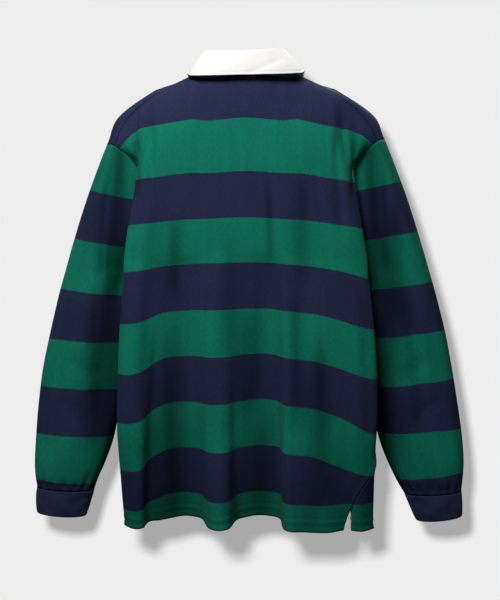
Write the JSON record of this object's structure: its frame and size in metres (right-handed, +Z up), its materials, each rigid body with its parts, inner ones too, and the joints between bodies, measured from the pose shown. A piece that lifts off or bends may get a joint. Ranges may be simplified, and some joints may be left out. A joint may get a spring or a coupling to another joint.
{
  "type": "rugby shirt",
  "caption": "Long-sleeved rugby shirt in wide green and navy stripes with a white collar and rib cuffs, hollow and filled out as if worn, held at the neck.",
  "frame": {"origin": "inside the neck, where a wearer or a hanger holds the shirt up, 40 mm below the highest point of the neck seam", "axes": "+Z up the wearer's body, +Y out of the wearer's chest, +X towards the wearer's right sleeve; the back of the shirt faces -Y"},
  "size_m": [0.7248, 0.1822, 0.7957],
  "materials": {
    "striped_jersey": "matt heavy cotton jersey in wide green and navy stripes",
    "cuff_rib": "matt rib knit",
    "white_twill": "matt cotton twill",
    "cotton_tape": "matt woven tape",
    "button_rubber": "soft satin"
  },
  "bodies": {
    "root": {"back_panel": "striped_jersey", "front_panel": "striped_jersey", "sleeve_left": "striped_jersey", "sleeve_right": "striped_jersey", "cuff_left": "cuff_rib", "cuff_right": "cuff_rib", "collar_stand": "white_twill", "collar": "white_twill", "placket": "white_twill", "button_1": "button_rubber", "button_2": "button_rubber", "button_3": "button_rubber", "vent_tape_left_back": "cotton_tape", "vent_tape_left_front": "cotton_tape", "vent_tape_right_back": "cotton_tape", "vent_tape_right_front": "cotton_tape"}
  },
  "joints": []
}
